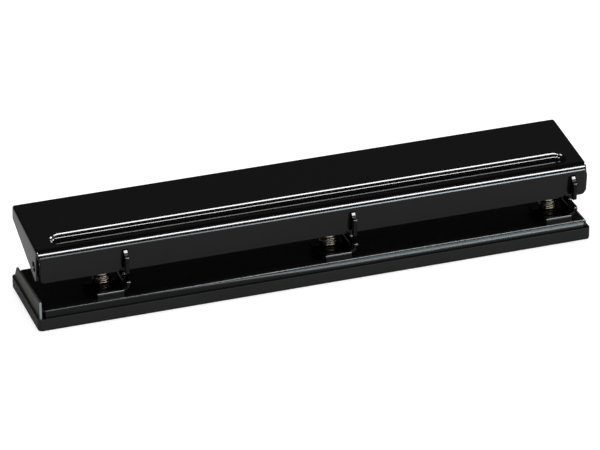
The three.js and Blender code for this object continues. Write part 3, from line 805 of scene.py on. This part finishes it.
def shape_lip(obj, bend, depth):
    """Turns the round front bend into a lip that is sharp at the left end and wide at the right. Its slope
    follows a table that goes over from the sharp one to the wide one along the plate, the drop is the slope's
    running sum, and every vertex goes down by what that drop differs from the round bend's."""
    # Places from the lip's back and the slope in degrees there
    sharp = np.array([(0, 2.0, 4.2, 4.27, 4.45, 4.5), (0, 5, 9, 34, 80, 86)])
    wide = np.array([(0, 1.5, 3.45, 3.7, 4.3, 4.5), (0, 8, 10, 66, 71, 84)])
    blend_start, blend_length, steps = -100, 120, 24
    reach = sharp[0, -1]
    points = points_of(obj)
    inward = np.linspace(0, reach, 451)
    spot = reach - (points[:, 1] - BASE_LOW[1])
    drops = []
    for k in range(steps + 1):
        places, slopes = sharp + (wide - sharp) * k / steps
        slope = np.tan(np.radians(np.interp(inward, places, slopes)))
        drops.append(np.interp(spot, inward, np.cumsum(slope) * inward[1]))
    drops = np.array(drops)
    level = smooth_step((points[:, 0] - blend_start) / blend_length) * steps
    row = np.minimum(level.astype(int), steps - 1)
    every = np.arange(len(spot))
    drop = drops[row, every] + (drops[row + 1, every] - drops[row, every]) * (level - row)
    round_bend = bend - np.sqrt(bend ** 2 - np.clip(spot - reach + bend, 0, bend) ** 2)
    below = np.clip((points[:, 2] - BASE_HIGH[2] + depth) / (depth - bend), 0, 1)
    corner = np.clip((BASE_HIGH[0] - points[:, 0]) / bend, 0, 1)
    points[:, 2] -= (drop - round_bend) * below * corner
    move_points(obj, points)


def guide_piece():
    """An upright strip whose top falls gently to the back and then steeply, with a foot under the base
    plate."""
    sheet, longer, fall, ramp, drop = 1.0, 1.1, 1.9, 4.4, 7.0
    foot_in, half_sheet = 2.5, 0.5
    y0, y1, z0, top = GUIDE_LOW[1], GUIDE_HIGH[1] + longer, GUIDE_LOW[2], GUIDE_HIGH[2]
    back_top = top - fall
    outline = rounded([(y0, z0), (y1, z0), (y1, back_top - drop), (y1 - ramp, back_top, 0.9), (y0, top, 0.9)])
    obj = prism("guide_strip", outline, 0, GUIDE_LOW[0], GUIDE_LOW[0] + sheet)
    foot_top = BASE_HIGH[2] - SHEET - GAP
    foot = block("guide_foot", (GUIDE_LOW[0] + half_sheet, y0 + foot_in, foot_top - sheet),
                 (GUIDE_HIGH[0], y1 - foot_in, foot_top))
    return soften(join(obj, [foot]), 0.22, 3)


def tray_outline(inset, radius=2.0, steps=8):
    """Plan of the tray as a rounded rectangle, drawn in by an inset with its corners' centres left in
    place."""
    spots = [(TRAY_HIGH[0], TRAY_LOW[1]), (TRAY_HIGH[0], TRAY_HIGH[1]), (TRAY_LOW[0], TRAY_HIGH[1]),
             (TRAY_LOW[0], TRAY_LOW[1])]
    parts = []
    for (x, y), start in zip(spots, (-90, 0, 90, 180)):
        centre = (x - math.copysign(radius, x), y - math.copysign(radius, y))
        parts.append(arc(centre, radius - inset, start, start + 90, steps))
    return np.vstack(parts)


def tray_piece():
    """A section of the wall, with a foot set in under it and a rounded rim and inner fillet, carried round
    the tray's outline."""
    wall, floor, rim, fillet = 0.8, 1.5, 0.1, 0.5
    top = TRAY_HIGH[2]
    section = [(0.45, 0), (0.2, 0.1), (0.15, 0.5), (0.0, 0.6), (0.0, 0.8),
               *arc((rim, top - rim), rim, 180, 90, 3),
               *arc((wall - rim, top - rim), rim, 90, 0, 3),
               (wall, floor + fillet),
               *arc((wall + fillet, floor + fillet), fillet, 180, 270, 4)]
    rows = []
    for inset, z in section:
        outline = tray_outline(inset)
        rows.append(np.column_stack([outline, np.full(len(outline), z)]))
    points = np.array(rows)
    flat, faces = net(points, ring=True)
    n = points.shape[1]
    last = len(flat) - n
    faces += [tuple(range(n)), tuple(range(last, last + n))]
    return even(piece("tray_pan", flat, faces))


dress(base_piece(), "frame", BASE_ENAMEL, "black_enamel", "base_plate")
dress(guide_piece(), "frame", GUIDE_ENAMEL, "black_enamel", "edge_guide")
dress(tray_piece(), "tray", PLASTIC, "tray_plastic", "chip_tray")


# Heads

def ear_outline(front):
    """Side view of the hook ear: nose, notch for the strip, jaw and tail. Its points are given by Y and Z
    from the hinge line and the radius of their corner."""
    y0, z0 = HINGE[1], HINGE[2]

    def at(y, z, radius=0.0):
        """A corner at a place from the hinge line."""
        return (y0 + y, z0 + z, radius)

    strip_back = SHEET / 2 * math.cos(TILT) + STRIP * math.sin(TILT) + GAP
    hook_front, hook_top, jaw = -2.1, 0.65, -5.5
    return rounded([
        (front, PLATE_UNDER), (front, PLATE_TOP),
        at(-6.5, jaw, 0.9), at(strip_back, jaw, 1.3), at(strip_back, hook_top, 0.3),
        at(hook_front, hook_top, 0.3), at(hook_front, -2.8, 0.3), at(-4.7, -2.8, 1.1), at(-4.9, 6.0, 0.9),
        at(-2.85, 6.5, 0.3), at(-2.65, 7.35, 0.3), at(-1.8, 8.4, 0.3),
        at(1.9, 8.4, 1.1), at(1.9, 3.2), at(3.3, 0.9), at(4.6, -1.3),
        (HEAD_BACK, z0 - 5.4, 2.0), (HEAD_BACK, PLATE_UNDER),
    ])


def head_piece():
    """One folded sheet: guide plate, front web with two tabs, and the ear, whose bend is a curved section in
    X and Z cut to the ear's side view."""
    left, web_left, bend, nose = -8.3, -5.5, 1.6, 1.0
    left_front, left_corner = WEB_FRONT + 6.5, 2.0
    web_low, ear_top, overrun = BASE_HIGH[2] - 0.4, HINGE[2] + 9, 2
    start, ear_outer = EAR_FACE - bend, EAR_FACE + HEAD_SHEET
    plate = prism("head", rounded([
        (web_left, WEB_FRONT + nose), (start, WEB_FRONT + nose), (start, HEAD_BACK),
        (left, HEAD_BACK, left_corner), (left, left_front),
    ]), 2, PLATE_UNDER, PLATE_TOP)
    web = prism("web", rounded([
        (WEB_FRONT, web_low), (WEB_BACK, web_low), (WEB_BACK, PLATE_UNDER), (WEB_BACK + nose, PLATE_UNDER),
        (WEB_BACK + nose, PLATE_TOP), (WEB_FRONT, PLATE_TOP, nose),
    ]), 0, web_left, start)
    ear = prism("ear", rounded([
        (start, PLATE_UNDER), (ear_outer, PLATE_UNDER, bend + HEAD_SHEET), (ear_outer, ear_top),
        (EAR_FACE, ear_top), (EAR_FACE, PLATE_TOP, bend), (start, PLATE_TOP),
    ]), 1, WEB_FRONT - overrun, HEAD_BACK)
    side_view = prism("ear_side", ear_outline(WEB_FRONT + 1.7), 0, start - overrun, ear_outer + overrun)
    join(ear, [side_view], "INTERSECT")
    join(plate, [web, ear] + head_tabs())
    bore = bar("bore", PIN_RADIUS + 0.2, PLATE_UNDER - overrun, PLATE_TOP + overrun, [0, PIN_Y, 0])
    join(plate, [bore], "DIFFERENCE")
    return soften(plate, 0.3, 3)


def head_tabs():
    """The two tabs that go down from the web through the base plate's slots."""
    half_tab, set_back, reach = 1.5, 0.6, 0.6
    return [block("tab", (middle - half_tab, WEB_FRONT + set_back, BASE_HIGH[2] - SHEET - reach),
                  (middle + half_tab, WEB_BACK, PLATE_UNDER)) for middle in (-TAB_MIDDLE, TAB_MIDDLE)]


def copy_at(source, name, x):
    """The same mesh, moved along X in its vertices."""
    obj = source.copy()
    obj.data = source.data.copy()
    obj.name = obj.data.name = name
    bpy.context.scene.collection.objects.link(obj)
    obj.data.transform(Matrix.Translation((x * MM, 0, 0)))
    return obj


master = head_piece()
for side in SIDES:
    dress(copy_at(master, f"head_fold_{side}", PINS[side][0]), "frame", HEAD_ENAMEL, "head_enamel",
          f"head_bracket_{side}")
bpy.data.objects.remove(master)


# Pins, clips and springs

def pin_piece(side):
    """A bar with a hollow-ground end, a groove for the clip and a bevelled top, turned round its axis."""
    hollow, bevel, groove = 0.7, 0.5, 2.4
    profile = [(0, PIN_TIP + hollow), (1.0, PIN_TIP + 0.65), (2.0, PIN_TIP + 0.45), (PIN_RADIUS, PIN_TIP),
               (PIN_RADIUS, CLIP_LOW - GAP), (groove, CLIP_LOW - GAP),
               (groove, CLIP_HIGH + GAP), (PIN_RADIUS, CLIP_HIGH + GAP),
               (PIN_RADIUS, PIN_TOP - bevel), (PIN_RADIUS - bevel, PIN_TOP), (0, PIN_TOP)]
    return even(turned(f"pin_bar_{side}", profile, [PINS[side][0], PIN_Y, 0], steps=64))


def clip_piece(side):
    """A flat ring with a mouth to the back: an outer arc and an inner arc, carried up by its thickness."""
    inner, outer, mouth = 2.7, 4.2, 1.7
    centre = (PINS[side][0], PIN_Y)
    out = math.degrees(math.asin(mouth / outer))
    within = math.degrees(math.asin(mouth / inner))
    outline = np.vstack([arc(centre, outer, 90 + out, 450 - out, 40),
                         arc(centre, inner, 450 - within, 90 + within, 40)])
    return soften(prism(f"clip_ring_{side}", outline, 2, CLIP_LOW, CLIP_HIGH), 0.12)


def spring_piece(side, wire=0.84, radius=3.92, start=-140, around=14, per_curl=30):
    """A tube carried round a helix. The end curls rise by about one wire and the others by the pitch, eased
    between. The tube's rings stand across the path, and its two ends are closed by flat caps."""
    play, inner_curls, end_rise = 0.06, 2.8, 1.03 * wire
    x, low, high = PINS[side][0], PLATE_TOP + play, CLIP_LOW - play
    rise = high - low - wire
    curls = 2 + inner_curls
    t = np.linspace(0, curls, int(curls * per_curl) + 1)
    pitch = (rise - 2 * end_rise) / inner_curls
    share = smooth_step((t - 0.8) / 0.4) * smooth_step((curls - 0.8 - t) / 0.4)
    slope = end_rise + (pitch - end_rise) * share
    z = np.concatenate([[0], np.cumsum((slope[1:] + slope[:-1]) / 2 * np.diff(t))])
    z = low + wire / 2 + z * rise / z[-1]
    angle = math.radians(start) + 2 * math.pi * t
    path = np.stack([x + radius * np.cos(angle), PIN_Y + radius * np.sin(angle), z], axis=-1)
    forward = np.gradient(path, axis=0)
    forward /= np.linalg.norm(forward, axis=1, keepdims=True)
    outward = np.stack([np.cos(angle), np.sin(angle), np.zeros_like(angle)], axis=-1)
    outward -= (outward * forward).sum(axis=1, keepdims=True) * forward
    outward /= np.linalg.norm(outward, axis=1, keepdims=True)
    upward = np.cross(forward, outward)
    ring = np.linspace(0, 2 * math.pi, around, endpoint=False)
    points = path[:, None] + wire / 2 * (np.cos(ring)[None, :, None] * outward[:, None]
                                         + np.sin(ring)[None, :, None] * upward[:, None])
    flat, faces = net(points, ring=True)
    last = len(flat) - around
    faces += [tuple(range(around)), tuple(range(last, last + around))]
    obj = piece(f"spring_coil_{side}", flat, faces)
    loops = np.empty(len(obj.data.loops), dtype=np.int64)
    obj.data.loops.foreach_get("vertex_index", loops)
    row, col = loops // around, loops % around
    uv = np.stack([row / per_curl, col / around], axis=-1)
    obj.data.uv_layers.new(name="wire").data.foreach_set("uv", uv.ravel())
    return obj, (x, PIN_Y, low), high - low


for side in SIDES:
    dress(pin_piece(side), f"pin_{side}", PIN_STEEL, "bright_steel", f"punch_pin_{side}")
    dress(clip_piece(side), f"pin_{side}", BLACKED, "bright_steel", f"spring_clip_{side}")
    coil, foot, height = spring_piece(side)
    dress(coil, "frame", WIRE, "spring_steel", f"pin_spring_{side}")
    tuple(c * MM for c in foot)
    1 - 2.9 / height
    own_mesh(coil)


# Camera

def standing(right, up, back, spot):
    """Matrix of an object with these three axes, at a spot in metres."""
    return Matrix([[right[k], up[k], back[k], spot[k]] for k in range(3)] + [[0, 0, 0, 1]])


def set_camera():
    """A long lens from the front left, from a fit of the object's lines: azimuth, elevation and roll turn it,
    it stands at a distance from its target, and its focal length is given in picture widths."""
    azimuth, elevation, roll = math.radians(18.8507), math.radians(27.7642), math.radians(-0.332)
    target, distance = np.array([PINS["middle"][0] - 10.77, 0.5, 19.268]), 1772.884
    picture_widths, sensor = 3877.27 / 600, 36
    forward = np.array([math.sin(azimuth) * math.cos(elevation), math.cos(azimuth) * math.cos(elevation),
                        -math.sin(elevation)])
    level = np.array([math.cos(azimuth), -math.sin(azimuth), 0.0])
    upright = np.cross(level, forward)
    right = math.cos(roll) * level + math.sin(roll) * upright
    up = -math.sin(roll) * level + math.cos(roll) * upright
    data = bpy.data.cameras.new("camera")
    data.sensor_fit, data.sensor_width = "HORIZONTAL", sensor
    data.lens = picture_widths * sensor
    data.clip_start, data.clip_end = 0.05, 50
    camera = bpy.data.objects.new("camera", data)
    bpy.context.scene.collection.objects.link(camera)
    camera.matrix_world = standing(right, up, -forward, (target - forward * distance) * MM)
    bpy.context.scene.camera = camera


set_camera()


# Studio

def lamp(name, size, spot, radiance, aim=(0.0, 0.0, 0.03), colour=(1, 1, 1)):
    """A rectangular lamp at a spot that faces its aim. Its power is radiance times area times pi."""
    data = bpy.data.lights.new(name, "AREA")
    data.shape, data.size, data.size_y = "RECTANGLE", size[0], size[1]
    data.color = colour
    data.energy = radiance * size[0] * size[1] * math.pi
    obj = bpy.data.objects.new(name, data)
    bpy.context.scene.collection.objects.link(obj)
    spot, aim = np.array(spot, float), np.array(aim, float)
    back = (spot - aim) / np.linalg.norm(spot - aim)
    side = np.array([1.0, 0, 0]) - back[0] * back
    side /= np.linalg.norm(side)
    obj.matrix_world = standing(side, np.cross(back, side), back, spot)
    obj.visible_camera = obj.visible_diffuse = False
    return obj


def overhead(angle, distance, x=0.25):
    """A spot in a plane across the object: the angle goes from the back horizon over the top to the front."""
    return (x, distance * math.cos(math.radians(angle)), distance * math.sin(math.radians(angle)))


def paper():
    """White diffuse paper, topped up to full white for the camera alone."""
    top_up = 0.36
    f = Finish("paper", Roughness=0.9, Base_Color=(0.95, 0.95, 0.95, 1), Specular_IOR_Level=0.0)
    seen = f.node("ShaderNodeLightPath", output="Is Camera Ray")
    glow = f.tree.nodes.new("ShaderNodeEmission")
    f.tree.links.new((seen * top_up).socket, glow.inputs["Strength"])
    return glowing(f, glow, keep_shader=True)


def glowing(f, glow, keep_shader):
    """Ends a material in an emission, either added to its shader or alone."""
    out = next(n for n in f.tree.nodes if n.type == "OUTPUT_MATERIAL")
    last = glow
    if keep_shader:
        last = f.tree.nodes.new("ShaderNodeAddShader")
        f.tree.links.new(f.shader.outputs[0], last.inputs[0])
        f.tree.links.new(glow.outputs[0], last.inputs[1])
    f.tree.links.new(last.outputs[0], out.inputs["Surface"])
    return f.material


def dark_room():
    """What glossy surfaces see above the floor: dim at the back, and dark over the top and in front."""
    f = Finish("dark_room")
    y, z = f.along(1), f.along(2)
    half_turns = z.sum("ARCTAN2", z, y) * (1 / math.pi)
    levels = ((0.0, 0.010), (0.13, 0.012), (0.18, 0.05), (0.225, 0.15), (0.30, 0.13), (0.40, 0.03),
              (1.0, 0.02))
    bluish = 1.06
    stops = [(place, (level, level, bluish * level, 1)) for place, level in levels]
    ramp = f.node("ShaderNodeValToRGB", {"stops": stops}, Fac=half_turns)
    glow = f.tree.nodes.new("ShaderNodeEmission")
    f.tree.links.new(ramp.socket, glow.inputs["Color"])
    return glowing(f, glow, keep_shader=False)


def stage_sheet(name, points, material):
    """A sheet of the studio from a grid of points in metres."""
    flat, faces = net(points)
    obj = piece(name, flat / MM, faces)
    obj.data.materials.append(material)
    return obj


def studio():
    """A wide white floor under a dark half pipe that only glossy surfaces see, a strip overhead, three front
    boxes side by side, a box at each end, and a plain white sky."""
    floor_half, pipe_half, pipe_radius, pipe_edge = 30.0, 6, 3.2, 2
    floor = np.array([[(x, y, 0.0) for x in (-floor_half, floor_half)] for y in (-floor_half, floor_half)])
    stage_sheet("floor", floor, paper())
    angle = np.radians(np.linspace(pipe_edge, 180 - pipe_edge, 45))
    y, z = pipe_radius * np.cos(angle), pipe_radius * np.sin(angle)
    edges = [np.stack([np.full_like(angle, x), y, z], axis=-1) for x in (-pipe_half, pipe_half)]
    pipe = np.stack(edges, axis=1)
    room = stage_sheet("dark_room", pipe, dark_room())
    room.visible_camera = room.visible_diffuse = room.visible_shadow = False
    lamp("strip", (3.2, 0.34), overhead(131, 1.5), 75)
    front_boxes = (("left", 0.05, 0.42, 15), ("middle", 0.42, 0.55, 26), ("right", 0.55, 1.2, 44))
    for name, x0, x1, radiance in front_boxes:
        x = (x0 + x1) / 2
        lamp(f"front_box_{name}", (x1 - x0, 0.34), overhead(175, 1.7, x), radiance, (x, 0.0, 0.03),
             (0.80, 0.94, 1.0))
    lamp("left_box", (0.5, 0.5), (-0.97, -0.09, 1.27), 60)
    lamp("right_box", (0.5, 0.5), (1.42, 0.37, 0.62), 60)
    world = bpy.data.worlds.new("studio")
    bpy.context.scene.world = world
    world.use_nodes = True
    sky = world.node_tree.nodes["Background"]
    sky.inputs["Color"].default_value = (1, 1, 1, 1)
    sky.inputs["Strength"].default_value = 1.0
    bpy.context.scene.view_settings.view_transform = "Standard"


studio()
